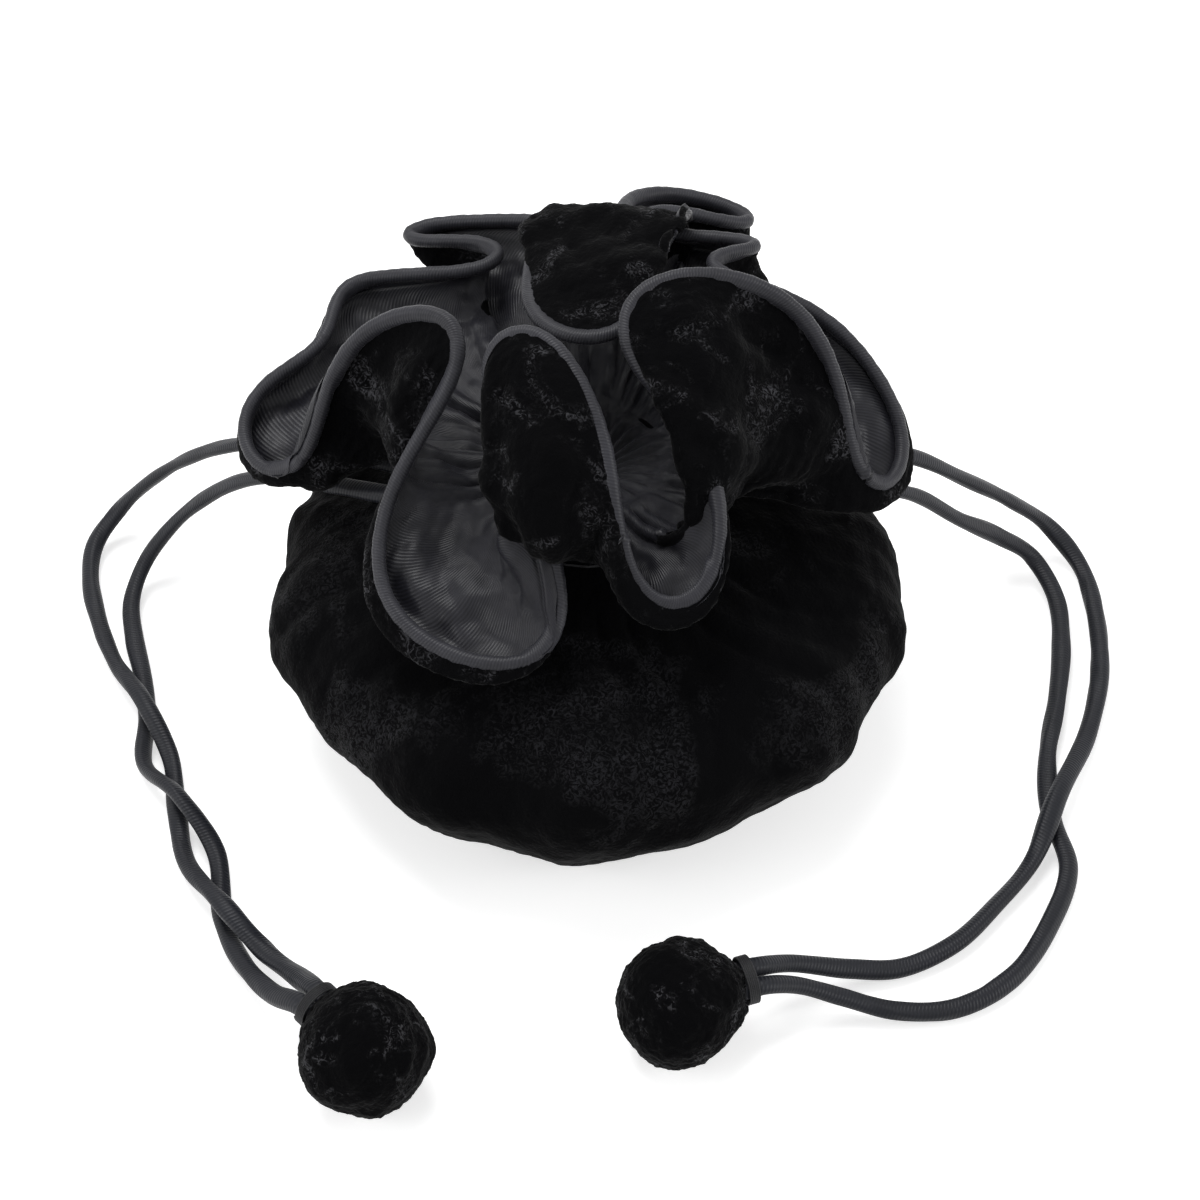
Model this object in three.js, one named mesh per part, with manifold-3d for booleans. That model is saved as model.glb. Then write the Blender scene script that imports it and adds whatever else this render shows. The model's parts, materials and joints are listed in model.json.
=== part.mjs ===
// A drawstring dice bag standing on its flat base: a velvet bag with a satin lining, gathered at the neck by
// two drawstrings that cross its casing, with a floppy piped frill above the neck. Each drawstring's two ends
// are sewn into one stuffed velvet ball. Millimetres, +Z up, origin at the middle of the base, on the table.
import Module from "manifold-3d";
import * as THREE from "three";
import { mergeVertices } from "three/addons/utils/BufferGeometryUtils.js";

// Cloth
const VELVET = 1.2; // thickness of the pile cloth
const SATIN = 0.5; // thickness of the lining
const GAP = 0.3; // clearance between pieces that lie on each other
const THREAD_R = 0.3;

// Base and wall
const BASE_R = 49.7; // flat round bottom panel
const BOARD = 2; // stiffener inside the base
const BELLY_R = 69.5; // widest part of the wall
const BELLY_Z = 28;
const WALL_TOP = 56.2; // the wall meets the casing here
const SCALLOPS = 9; // soft vertical folds round the wall
const SCALLOP_DEPTH = 1.2;
const WALL_COLUMNS = 32;
const WALL_ROWS = 9;

// Drawstrings and casing
const CORD_R = 2.1;
const NECK_R = 17.8; // outside of the casing
const CHANNEL_STEP = 2 * CORD_R + GAP; // the two drawstrings lie one above the other
const CASING_MARGIN = CORD_R + 2.4; // from a drawstring's middle to the casing's edge
const CASING_STITCH = 0.6; // from the casing's edge to its line of stitches
const STRAND_Y = CORD_R + 0.25; // a drawstring's two strands leave side by side
const RING_SEGMENTS = 24;
const BUTTONHOLE_RIM = 0.65;
const BUTTONHOLE_THICKNESS = 0.7;
const SLIT_PLAY = 0.66 * CORD_R;
const RUN_TURN = 11.06; // length of a drawstring's turn out to its buttonhole

// Frill
const FRILL_COLUMNS = 160;
const FRILL_ROWS = 4;
const RIB_RISE = 17; // how far the frill stands up before it falls outwards
const CREST_RISE = 34.2; // folds stand about this far above the casing
const LOBE_RISE = 12.2; // the edge lies out along a lobe below this
const PIPING_R = 1.5;
const PIPING_WALL = 0.4;

// Balls
const BALL_R = 14;
const BALL_MOUTH_R = 2 * CORD_R + 1.2;
const BALL_SEGMENTS = 16;

const FLOOR = 0;
const CASING_BOTTOM = WALL_TOP + VELVET / 2 + GAP;
const LEFT_LEVEL = CASING_BOTTOM + CASING_MARGIN + 0.3;
const RIGHT_LEVEL = LEFT_LEVEL + CHANNEL_STEP;
const CASING_TOP = RIGHT_LEVEL + CASING_MARGIN;
const FRILL_START = CASING_TOP + VELVET / 2 + GAP;
const CREST_Z = FRILL_START + CREST_RISE;
const LOBE_Z = FRILL_START + LOBE_RISE;
const CHANNEL_R = NECK_R - 1 - GAP - CORD_R; // a drawstring's middle, inside the casing
const THROAT_R = CHANNEL_R - CORD_R - GAP; // outside of the casing's inner wall

// The frill's edge and the cords' routes were laid out round this belly, wall and cord, and move with them.
const LAID = { bellyR: 69.5, wallTop: 56.2, cordR: 2.1 };

// The frill's piped edge, once round, as [azimuth in degrees, reach, height]: lobes that flop outwards, with
// folds between them that stand over the neck.
const RIM = [
  [172, 77, 65], [188, 55, 82], [205, 28, 106], [222, 45, 80], [245, 52, 62], [262, 38, 80], [275, 21, 109],
  [288, 34, 84], [299, 46, 68], [315, 42, 80], [333, 25, 111], [349, 48, 84], [363, 68, 67], [379, 60, 80],
  [396, 43, 97], [415, 68, 89], [432, 58, 94], [448, 70, 88], [467, 47, 97], [487, 76, 84], [501, 78, 80],
  [516, 58, 86],
];

// Where the drawstrings lie outside the bag, each list from the buttonhole to the ball.
const LEFT_A = [
  [-28, 5, 60.6], [-42, 12, 58], [-56, 20, 54.5], [-69, 28, 49.5], [-80, 34, 43], [-91, 41, 33.5],
  [-104, 47, 20], [-115, 47, 8.5], [-121, 40, 3.4], [-121, 29, 2.5], [-117, 15, 2.5], [-111, 1, 3.6],
  [-102, -14, 7.4], [-95, -27, 3.6], [-92, -41, 2.5], [-88, -56, 3.2], [-78.5, -70, 7.8],
  [-68, -81, 5.2], [-60, -90, 9.5],
];
const LEFT_B = [
  [-28, -1, 60.6], [-42, 3, 57.5], [-55, 10, 53.5], [-67, 18, 48], [-78, 25, 40.5], [-88, 31, 30],
  [-99, 34, 17], [-107, 31, 7], [-110, 22, 2.8], [-108, 10, 2.5], [-104.5, -2, 2.4], [-102, -14, 2.3],
  [-100.5, -29, 3.2], [-91, -41, 7.7], [-82, -53, 3.2], [-78.5, -71, 2.5], [-73, -83, 4.4],
  [-65, -94, 9.5],
];
const RIGHT_A = [
  [28, 5, 65], [42, 11, 61], [56, 18, 56], [68, 24, 50], [76, 28, 44], [87, 33, 33], [101, 39, 19],
  [112, 41, 8], [119, 33, 3.2], [121, 18, 2.5], [119.5, -1, 2.5], [114, -20, 3], [104, -41, 7.2],
  [97, -56, 3.2], [88, -67, 2.5], [78, -77, 2.5], [66, -83, 2.5], [55, -84.5, 4.5], [42, -86.5, 9.5],
];
const RIGHT_B = [
  [28, -1, 65], [42, 3, 60.5], [55, 9, 55], [66, 14, 48.5], [75, 19, 41], [86, 24, 28.5], [98, 31, 15],
  [107, 33, 6], [112, 23, 2.8], [111.5, 7, 2.5], [108.5, -9, 2.5], [104, -27, 2.5], [103, -43, 2.5],
  [105, -57, 2.5], [99, -72, 2.5], [90, -85, 2.5], [77, -93, 2.5], [64, -94, 3.2], [53, -92.5, 6],
  [43, -92.5, 10.5],
];
const TAIL_STEPS = 36;
const LEFT_BALL = new THREE.Vector3(-45, -110, FLOOR + BALL_R + 0.02);
const RIGHT_BALL = new THREE.Vector3(19, -98, FLOOR + BALL_R + 0.02);
const LEFT_BALL_AXIS = new THREE.Vector3(-0.7, 0.714, 0).normalize(); // from the ball towards its cord
const RIGHT_BALL_AXIS = new THREE.Vector3(0.95, 0.312, 0).normalize();

const wasm = await Module();
wasm.setup();

const BLACK_VELVET = { color: 0x09090d, roughness: 0.95, metalness: 0 };
const CHARCOAL_SATIN = { color: 0x32323a, roughness: 0.45, metalness: 0 };
const PIPING_SATIN = { color: 0x3a3a42, roughness: 0.42, metalness: 0 };
const CORD_SATIN = { color: 0x26282f, roughness: 0.4, metalness: 0 };
const BLACK_THREAD = { color: 0x101014, roughness: 0.7, metalness: 0 };
const GREY_BOARD = { color: 0x8a8378, roughness: 0.9, metalness: 0 };
const WHITE_FILL = { color: 0xd8d8d4, roughness: 1, metalness: 0 };

const group = new THREE.Group();

function add(name, geometry, look) {
  const mesh = new THREE.Mesh(geometry, new THREE.MeshStandardMaterial(look));
  mesh.name = name;
  group.add(mesh);
  return mesh;
}

const vector = ([x, y, z]) => new THREE.Vector3(x, y, z);
const around = (r, angle, z) => new THREE.Vector3(r * Math.cos(angle), r * Math.sin(angle), z);

function surface(points, index) {
  const geometry = new THREE.BufferGeometry().setFromPoints(points);
  geometry.setIndex(index);
  return geometry;
}

// A closed ring of cloth whose middle surface is at(u, v), filled from `low` to `high` along its normal.
// It starts at row `first`, so that two layers of different depth share one grid.
function clothRing(at, columns, rows, low, high, first = 0) {
  const middle = (i, j) => at(((i + columns) % columns) / columns, j / rows);
  const layer = (offset) => {
    const points = [];
    for (let j = first; j <= rows; j++)
      for (let i = 0; i < columns; i++) {
        const across = middle(i + 1, j).sub(middle(i - 1, j));
        const along = middle(i, Math.min(j + 1, rows)).sub(middle(i, Math.max(j - 1, 0)));
        points.push(middle(i, j).addScaledVector(across.cross(along).normalize(), offset));
      }
    return points;
  };
  const strips = rows - first;
  const inner = (strips + 1) * columns;
  const index = [];
  for (let i = 0; i < columns; i++) {
    const next = (i + 1) % columns;
    for (let j = 0; j < strips; j++) {
      const [a, b, c, d] = [i + j * columns, next + j * columns, next + (j + 1) * columns, i + (j + 1) * columns];
      index.push(a, b, c, a, c, d);
      index.push(inner + a, inner + c, inner + b, inner + a, inner + d, inner + c);
    }
    index.push(next, i, inner + i, next, inner + i, inner + next);
    const [c, d] = [next + strips * columns, i + strips * columns];
    index.push(d, c, inner + c, d, inner + c, inner + d);
  }
  return surface([...layer(high), ...layer(low)], index);
}

// A section of [inward, sideways] points carried once round the frill's edge.
function edgeSweep(section) {
  const points = [];
  const index = [];
  const count = section.length;
  for (let i = 0; i < FRILL_COLUMNS; i++) {
    const { rim, inward, tangent } = edgeFrame(i / FRILL_COLUMNS);
    const sideways = tangent.clone().cross(inward);
    for (const [x, y] of section)
      points.push(rim.clone().addScaledVector(inward, x).addScaledVector(sideways, y));
    const next = (i + 1) % FRILL_COLUMNS;
    for (let k = 0; k < count; k++) {
      const after = (k + 1) % count;
      const [a, b, c, d] = [i * count + k, i * count + after, next * count + after, next * count + k];
      index.push(a, b, c, a, c, d);
    }
  }
  return surface(points, index);
}

// A solid turned round +Z from a closed [radius, height] outline, or one that starts and ends on the axis.
function turned(outline, segments) {
  return new THREE.LatheGeometry(outline.map(([r, z]) => new THREE.Vector2(r, z)), segments).rotateX(Math.PI / 2);
}

function disc(radius, bottom, thickness) {
  return turned([[0, bottom], [radius, bottom], [radius, bottom + thickness], [0, bottom + thickness]], WALL_COLUMNS);
}

function cordAlong(points, steps) {
  const sides = 8;
  const section = [];
  for (let k = 0; k < sides; k++) {
    const angle = (2 * Math.PI * k) / sides;
    section.push(new THREE.Vector2(CORD_R * Math.cos(angle), CORD_R * Math.sin(angle)));
  }
  const extrudePath = new THREE.CatmullRomCurve3(points, false, "centripetal");
  return new THREE.ExtrudeGeometry(new THREE.Shape(section), { steps, bevelEnabled: false, extrudePath });
}

function solid(geometry) {
  const bare = geometry.clone();
  for (const name of ["normal", "uv"]) bare.deleteAttribute(name);
  const merged = mergeVertices(bare, 1e-4);
  return new wasm.Manifold(
    new wasm.Mesh({
      numProp: 3,
      vertProperties: merged.attributes.position.array,
      triVerts: new Uint32Array(merged.index.array),
    }),
  );
}

function geometryOf(manifold) {
  const { vertProperties, triVerts } = manifold.getMesh();
  const geometry = new THREE.BufferGeometry();
  geometry.setAttribute("position", new THREE.BufferAttribute(vertProperties, 3));
  geometry.setIndex([...triVerts]);
  return geometry;
}

// The middle of the velvet wall, from the base's rim up to the casing.
const wallProfile = new THREE.SplineCurve([
  new THREE.Vector2(BASE_R + GAP + 1, 0.5),
  new THREE.Vector2(BASE_R + 5, 4),
  new THREE.Vector2(BASE_R + 10.5, 11),
  new THREE.Vector2(BELLY_R - 3.5, BELLY_Z - 9),
  new THREE.Vector2(BELLY_R, BELLY_Z),
  new THREE.Vector2(BELLY_R - 1.5, BELLY_Z + 8),
  new THREE.Vector2(BELLY_R - 9, WALL_TOP - 12),
  new THREE.Vector2(BELLY_R - 23, WALL_TOP - 7),
  new THREE.Vector2(NECK_R + 14, WALL_TOP - 4),
  new THREE.Vector2(NECK_R + 4, WALL_TOP - 2),
  new THREE.Vector2(NECK_R - 0.6, WALL_TOP),
]);

function wallPoint(u, v) {
  const angle = 2 * Math.PI * u;
  const { x: radius, y: height } = wallProfile.getPoint(v);
  const scallop = SCALLOP_DEPTH * Math.sin(Math.PI * v) ** 2 * Math.cos(SCALLOPS * angle);
  return around(radius + scallop, angle, height);
}

function base() {
  const boardBottom = VELVET + GAP;
  const liningBottom = boardBottom + BOARD + GAP;
  add("base_velvet", disc(BASE_R, FLOOR, VELVET), BLACK_VELVET);
  add("base_board", disc(BASE_R - GAP, boardBottom, BOARD), GREY_BOARD);
  add("base_lining", disc(BASE_R + 2, liningBottom, SATIN), CHARCOAL_SATIN);
  const seam = new THREE.TorusGeometry(BASE_R + 3 * THREAD_R, THREAD_R, 4, RING_SEGMENTS);
  add("base_seam_thread", seam, BLACK_THREAD).position.z = VELVET + 2.5 * THREAD_R;
}

function wall() {
  const half = VELVET / 2;
  add("side_velvet", clothRing(wallPoint, WALL_COLUMNS, WALL_ROWS, -half, half), BLACK_VELVET);
  const outside = -half - GAP;
  const lining = clothRing(wallPoint, WALL_COLUMNS, WALL_ROWS, outside - SATIN, outside, 1);
  add("side_lining", lining, CHARCOAL_SATIN);
}

// A drawstring's stretch inside the casing: out of one side, all the way round and out of the same side.
function channelRun(side, level) {
  const start = side < 0 ? Math.PI : 0;
  const lead = RUN_TURN / CHANNEL_R;
  const outside = NECK_R + BUTTONHOLE_THICKNESS + 2 * GAP;
  const points = [
    new THREE.Vector3(side * outside, side * STRAND_Y, level),
    new THREE.Vector3(side * (NECK_R - 2), side * STRAND_Y, level),
  ];
  const count = 18;
  for (let k = 0; k <= count; k++)
    points.push(around(CHANNEL_R, start + lead + ((2 * Math.PI - 2 * lead) * k) / count, level));
  points.push(new THREE.Vector3(side * (NECK_R - 2), -side * STRAND_Y, level));
  points.push(new THREE.Vector3(side * outside, -side * STRAND_Y, level));
  return cordAlong(points, 30);
}

function slit(halfWidth, halfHeight) {
  const shape = new THREE.Shape();
  shape.moveTo(-halfWidth, -halfHeight);
  shape.lineTo(halfWidth, -halfHeight);
  shape.lineTo(halfWidth, halfHeight);
  shape.lineTo(-halfWidth, halfHeight);
  shape.closePath();
  return shape;
}

function casing() {
  const slitWidth = STRAND_Y + CORD_R + SLIT_PLAY;
  const slitHeight = CORD_R + SLIT_PLAY / 2;
  const band = [
    [NECK_R - 1, CASING_BOTTOM], [NECK_R, CASING_BOTTOM], [NECK_R, CASING_TOP], [NECK_R - 1, CASING_TOP],
    [NECK_R - 1, CASING_BOTTOM],
  ];
  let velvet = solid(turned(band, RING_SEGMENTS));
  for (const [side, name, level] of [[-1, "left", LEFT_LEVEL], [1, "right", RIGHT_LEVEL]]) {
    const depth = 8;
    const cutter = new THREE.BoxGeometry(depth, 2 * slitWidth, 2 * slitHeight);
    velvet = velvet.subtract(solid(cutter.translate(side * NECK_R, 0, level)));
    const rim = slit(slitWidth + BUTTONHOLE_RIM, slitHeight + BUTTONHOLE_RIM);
    rim.holes.push(slit(slitWidth, slitHeight));
    const plate = new THREE.ExtrudeGeometry(rim, { depth: BUTTONHOLE_THICKNESS, bevelEnabled: false });
    const mesh = add(name + "_buttonhole", plate, BLACK_THREAD);
    mesh.geometry.rotateZ(Math.PI / 2);
    mesh.rotation.y = (side * Math.PI) / 2;
    mesh.position.set(side * (NECK_R + GAP), 0, level);
    add(name + "_drawstring_run", channelRun(side, level), CORD_SATIN);
  }
  add("casing_velvet", geometryOf(velvet), BLACK_VELVET);
  const lip = NECK_R - 1 - GAP;
  const inner = [
    [THROAT_R - SATIN, CASING_BOTTOM + 2], [lip, CASING_BOTTOM - 0.1], [lip, CASING_BOTTOM + SATIN],
    [THROAT_R, CASING_BOTTOM + 2.2], [THROAT_R, CASING_TOP - 2.2], [lip, CASING_TOP - SATIN],
    [lip, CASING_TOP], [THROAT_R - SATIN, CASING_TOP - 2], [THROAT_R - SATIN, CASING_BOTTOM + 2],
  ];
  add("casing_lining", turned(inner, RING_SEGMENTS), CHARCOAL_SATIN);
  for (const [name, height] of [
    ["casing_thread_lower", CASING_BOTTOM + CASING_STITCH],
    ["casing_thread_upper", CASING_TOP - CASING_STITCH],
  ]) {
    const ring = new THREE.TorusGeometry(NECK_R + GAP + THREAD_R, THREAD_R, 4, RING_SEGMENTS);
    add(name, ring, BLACK_THREAD).position.z = height;
  }
}

const rimCurve = new THREE.CatmullRomCurve3(
  RIM.map(([azimuth, reach, height]) =>
    around(reach, THREE.MathUtils.degToRad(azimuth), height + WALL_TOP - LAID.wallTop),
  ),
  true,
  "centripetal",
);

// At the edge the cloth leaves square to the piping: inwards along a lobe, downwards from a fold's crest.
function edgeFrame(u) {
  const rim = rimCurve.getPointAt(u);
  const tangent = rimCurve.getTangentAt(u);
  const inward = new THREE.Vector3(-rim.x, -rim.y, 0).normalize().multiplyScalar(0.5);
  inward.z = THREE.MathUtils.clamp((LOBE_Z - rim.z) / (CREST_Z - LOBE_Z), -1, 0);
  inward.addScaledVector(tangent, -inward.dot(tangent)).normalize();
  return { rim, inward, tangent };
}

// One rib of the frill: up from the casing, over, and down or up to the piped edge, in one upright plane.
function frillPoint(u, v) {
  const { rim, inward } = edgeFrame(u);
  const end = rim.clone().addScaledVector(inward, PIPING_R + 1);
  const angle = Math.atan2(end.y, end.x);
  const foot = around(NECK_R - 0.9, angle, FRILL_START);
  const rise = foot.clone().add(new THREE.Vector3(0, 0, RIB_RISE));
  const fall = around(Math.hypot(end.x, end.y) * 0.75, angle, end.z);
  fall.z += THREE.MathUtils.clamp(LOBE_Z - end.z, -14, 8);
  return new THREE.CubicBezierCurve3(foot, rise, fall, end).getPoint(v);
}

function frill() {
  const apart = GAP / 2;
  const velvet = clothRing(frillPoint, FRILL_COLUMNS, FRILL_ROWS, apart, apart + 0.9);
  const lining = clothRing(frillPoint, FRILL_COLUMNS, FRILL_ROWS, -apart - SATIN, -apart);
  add("frill_velvet", velvet, BLACK_VELVET);
  add("frill_lining", lining, CHARCOAL_SATIN);
  const cover = [];
  const arc = (radius, k) => {
    const angle = THREE.MathUtils.degToRad(45 + 90 * k);
    return [radius * Math.cos(angle), radius * Math.sin(angle)];
  };
  for (let k = 0; k <= 3; k++) cover.push(arc(PIPING_R, k));
  for (let k = 3; k >= 0; k--) cover.push(arc(PIPING_R - PIPING_WALL, k));
  add("piping_cover", edgeSweep(cover), PIPING_SATIN);
  const core = [];
  for (let k = 0; k < 4; k++) core.push(arc(PIPING_R - PIPING_WALL - 1.7 * GAP, k));
  add("piping_cord", edgeSweep(core), WHITE_FILL);
}

// A ball is round about the end of its cord, so that it can turn there.
function ball(name, centre, axis) {
  const shell = [];
  const inside = [];
  const rows = 7;
  const mouth = Math.asin(BALL_MOUTH_R / BALL_R);
  for (let k = 0; k <= rows; k++) {
    const angle = (k * (Math.PI - mouth)) / rows;
    shell.push([BALL_R * Math.sin(angle), -BALL_R * Math.cos(angle)]);
    inside.push([(BALL_R - VELVET) * Math.sin(angle), -(BALL_R - VELVET) * Math.cos(angle)]);
  }
  const fillR = BALL_R - VELVET - GAP;
  const fill = [];
  for (let k = 0; k < rows; k++) {
    const angle = (k * (Math.PI - mouth)) / rows;
    fill.push([fillR * Math.sin(angle), -fillR * Math.cos(angle)]);
  }
  fill.push([0, fill[rows - 1][1]]);
  const tie = BALL_R * Math.cos(mouth) + GAP;
  const whipping = [
    [BALL_MOUTH_R - 0.4, tie], [BALL_MOUTH_R + 0.6, tie], [BALL_MOUTH_R + 0.6, tie + 2.4],
    [BALL_MOUTH_R - 0.4, tie + 2.4], [BALL_MOUTH_R - 0.4, tie],
  ];
  for (const [part, outline, look] of [
    ["ball_cover", [...shell, ...inside.reverse()], BLACK_VELVET],
    ["ball_stuffing", fill, WHITE_FILL],
    ["ball_whipping", whipping, BLACK_THREAD],
  ]) {
    const mesh = add(name + "_" + part, turned(outline, BALL_SEGMENTS), look);
    mesh.position.copy(centre);
    mesh.quaternion.setFromUnitVectors(new THREE.Vector3(0, 0, 1), axis);
  }
}

// A route's point, moved out with the belly, up with the wall and clear of a thicker cord.
function laid(side, [x, y, z]) {
  const beside = THREE.MathUtils.smoothstep(Math.abs(x), 28, 76);
  const out = side * (BELLY_R - LAID.bellyR) * beside;
  const up = (WALL_TOP - LAID.wallTop) * (z / LAID.wallTop);
  const clear = (CORD_R - LAID.cordR) * Math.min(z / 2.5, 3);
  return new THREE.Vector3(x + out, y, z + up + clear);
}

// One strand outside the bag, from just past the buttonhole to just inside its ball's mouth.
function tail(name, side, strandY, level, route, centre, axis, ballSide) {
  const exit = NECK_R + BUTTONHOLE_THICKNESS + 3 * GAP;
  const across = new THREE.Vector3(-axis.y, axis.x, 0).multiplyScalar(ballSide * STRAND_Y);
  const inBall = (distance) => centre.clone().addScaledVector(axis, distance).add(across);
  const points = [
    new THREE.Vector3(side * exit, strandY, level),
    new THREE.Vector3(side * (exit + 3), strandY, level),
    ...route.map((point) => laid(side, point)),
    inBall(BALL_R + 3),
    inBall(BALL_R - 2),
  ];
  add(name, cordAlong(points, TAIL_STEPS), CORD_SATIN);
}

base();
wall();
casing();
frill();
ball("left", LEFT_BALL, LEFT_BALL_AXIS);
ball("right", RIGHT_BALL, RIGHT_BALL_AXIS);
tail("left_tail_a", -1, STRAND_Y, LEFT_LEVEL, LEFT_A, LEFT_BALL, LEFT_BALL_AXIS, -1);
tail("left_tail_b", -1, -STRAND_Y, LEFT_LEVEL, LEFT_B, LEFT_BALL, LEFT_BALL_AXIS, 1);
tail("right_tail_a", 1, STRAND_Y, RIGHT_LEVEL, RIGHT_A, RIGHT_BALL, RIGHT_BALL_AXIS, 1);
tail("right_tail_b", 1, -STRAND_Y, RIGHT_LEVEL, RIGHT_B, RIGHT_BALL, RIGHT_BALL_AXIS, -1);

export default group;
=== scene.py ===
# %% [markdown]
# # A drawstring dice bag in velvet and satin
# The bag stands on a flat round base. A casing at its neck holds two drawstrings, and above the casing a
# frill with a piped edge flops outwards. The measured model comes first as a fixed frame; every cloth piece
# is then built over it, so nothing has to be fitted afterwards.

# %% Load the fixed frame
import json
import math

import bmesh
import bpy
import numpy as np
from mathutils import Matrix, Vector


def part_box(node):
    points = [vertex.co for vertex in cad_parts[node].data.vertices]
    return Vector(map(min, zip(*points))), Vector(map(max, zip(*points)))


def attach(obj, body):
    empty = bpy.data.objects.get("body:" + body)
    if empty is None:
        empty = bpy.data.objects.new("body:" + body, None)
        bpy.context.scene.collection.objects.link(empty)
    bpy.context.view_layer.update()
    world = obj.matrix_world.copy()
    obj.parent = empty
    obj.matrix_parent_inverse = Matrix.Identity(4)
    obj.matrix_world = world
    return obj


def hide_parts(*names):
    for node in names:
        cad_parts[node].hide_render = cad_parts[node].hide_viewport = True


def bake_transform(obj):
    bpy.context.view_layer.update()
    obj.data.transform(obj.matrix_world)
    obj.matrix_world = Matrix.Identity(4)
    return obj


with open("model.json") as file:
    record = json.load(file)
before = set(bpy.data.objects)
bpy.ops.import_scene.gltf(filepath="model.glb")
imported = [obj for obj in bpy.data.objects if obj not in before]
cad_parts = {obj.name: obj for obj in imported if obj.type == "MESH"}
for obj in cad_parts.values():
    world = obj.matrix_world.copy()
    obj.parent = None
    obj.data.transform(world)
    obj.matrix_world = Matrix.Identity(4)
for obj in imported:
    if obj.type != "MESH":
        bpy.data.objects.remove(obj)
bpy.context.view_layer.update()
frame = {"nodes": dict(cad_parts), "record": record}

MM = 0.001

# %% [markdown]
# ## Camera
# The bag is seen from the front and from well above, at the distance of a small table-top set. A fairly long
# lens keeps the cords and balls, which lie nearest, from swelling.

# %% Place the camera
CAMERA_TARGET = np.array([2.5, 2.4, 24.1]) * MM
CAMERA_RISE = math.radians(48)
CAMERA_DISTANCE = 560 * MM
camera_data = bpy.data.cameras.new("camera")
camera_data.lens = 73.5
camera = bpy.data.objects.new("camera", camera_data)
bpy.context.scene.collection.objects.link(camera)
towards = np.array([0, -math.cos(CAMERA_RISE), math.sin(CAMERA_RISE)])
camera.location = CAMERA_TARGET + CAMERA_DISTANCE * towards
camera.rotation_euler = (math.pi / 2 - CAMERA_RISE, 0, 0)
bpy.context.scene.camera = camera
print("camera at", [round(v, 3) for v in camera.location])

# %% [markdown]
# ## Helpers for curves and swept pieces
# Cords, piping and the frill's edge all follow smooth curves through a few chosen points. A centripetal
# Catmull-Rom curve passes through its points without overshooting, and it is resampled to even steps so that
# ribs and creases keep one scale from end to end.

# %% Smooth curves
def knot_share(knots, k, order, t):
    """Share of the way from one knot to another, for the pyramid above."""
    starts = {1: [0, 1, 2], 2: [0, 1], 3: [1]}[order]
    ends = {1: [1, 2, 3], 2: [2, 3], 3: [2]}[order]
    start, end = knots[starts[k]], knots[ends[k]]
    return (t - start) / (end - start)


def smooth_curve(points, closed, steps):
    """Even points along a centripetal Catmull-Rom curve through the given points."""
    points = np.array(points, float)
    count = len(points)
    spans = count if closed else count - 1
    if not closed:
        points = np.vstack([2 * points[0] - points[1], points, 2 * points[-1] - points[-2]])
    dense = []
    for span in range(spans):
        four = [points[(span + k - 1) % count] if closed else points[span + k] for k in range(4)]
        knots = [0.0]
        for a, b in zip(four, four[1:]):
            knots.append(knots[-1] + max(np.linalg.norm(b - a), 1e-9) ** 0.5)
        for t in np.linspace(knots[1], knots[2], 40, endpoint=False):
            level = list(four)
            for order in (1, 2, 3):
                level = [
                    level[k] + (level[k + 1] - level[k]) * knot_share(knots, k, order, t)
                    for k in range(4 - order)
                ]
            dense.append(level[0])
    dense.append(dense[0] if closed else points[-2])
    dense = np.array(dense)
    along = np.r_[0, np.cumsum(np.linalg.norm(np.diff(dense, axis=0), axis=1))]
    wanted = np.linspace(0, along[-1], steps, endpoint=not closed)
    return np.stack([np.interp(wanted, along, dense[:, k]) for k in range(3)], axis=1), along[-1]


def unit(vectors):
    """The same directions, each one unit long."""
    return vectors / np.maximum(np.linalg.norm(vectors, axis=-1, keepdims=True), 1e-12)


_, straight = smooth_curve([(0, 0, 0), (5, 0, 0), (10, 0, 0)], False, 9)
print("a straight curve of 10 mm measures", round(straight, 2))


# %% Meshes from grids of points
def mesh_piece(name, points, faces, uv=None):
    """A smooth-shaded mesh object; uv holds one pair per point."""
    mesh = bpy.data.meshes.new(name)
    mesh.from_pydata([tuple(p) for p in points], [], [tuple(f) for f in faces])
    mesh.polygons.foreach_set("use_smooth", [True] * len(mesh.polygons))
    if uv is not None:
        layer = mesh.uv_layers.new(name="cloth")
        corner = np.zeros(len(mesh.loops), np.int32)
        mesh.loops.foreach_get("vertex_index", corner)
        layer.data.foreach_set("uv", np.asarray(uv, np.float32)[corner].ravel())
    mesh.update()
    piece = bpy.data.objects.new(name, mesh)
    bpy.context.scene.collection.objects.link(piece)
    return piece


def grid_faces(rows, columns, first=0, flip=False):
    """Quads of a grid that closes on itself across its columns."""
    j, i = np.meshgrid(np.arange(rows - 1), np.arange(columns), indexing="ij")
    after = (i + 1) % columns
    here, above = j * columns, (j + 1) * columns
    quads = np.stack([here + i, here + after, above + after, above + i], -1)
    quads = quads.reshape(-1, 4) + first
    return quads[:, ::-1] if flip else quads


def normals_of(grid):
    """Unit normals of a grid (rows, columns, 3) that closes across its columns."""
    across = np.roll(grid, -1, axis=1) - np.roll(grid, 1, axis=1)
    return unit(np.cross(across, np.gradient(grid, axis=0)))


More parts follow.
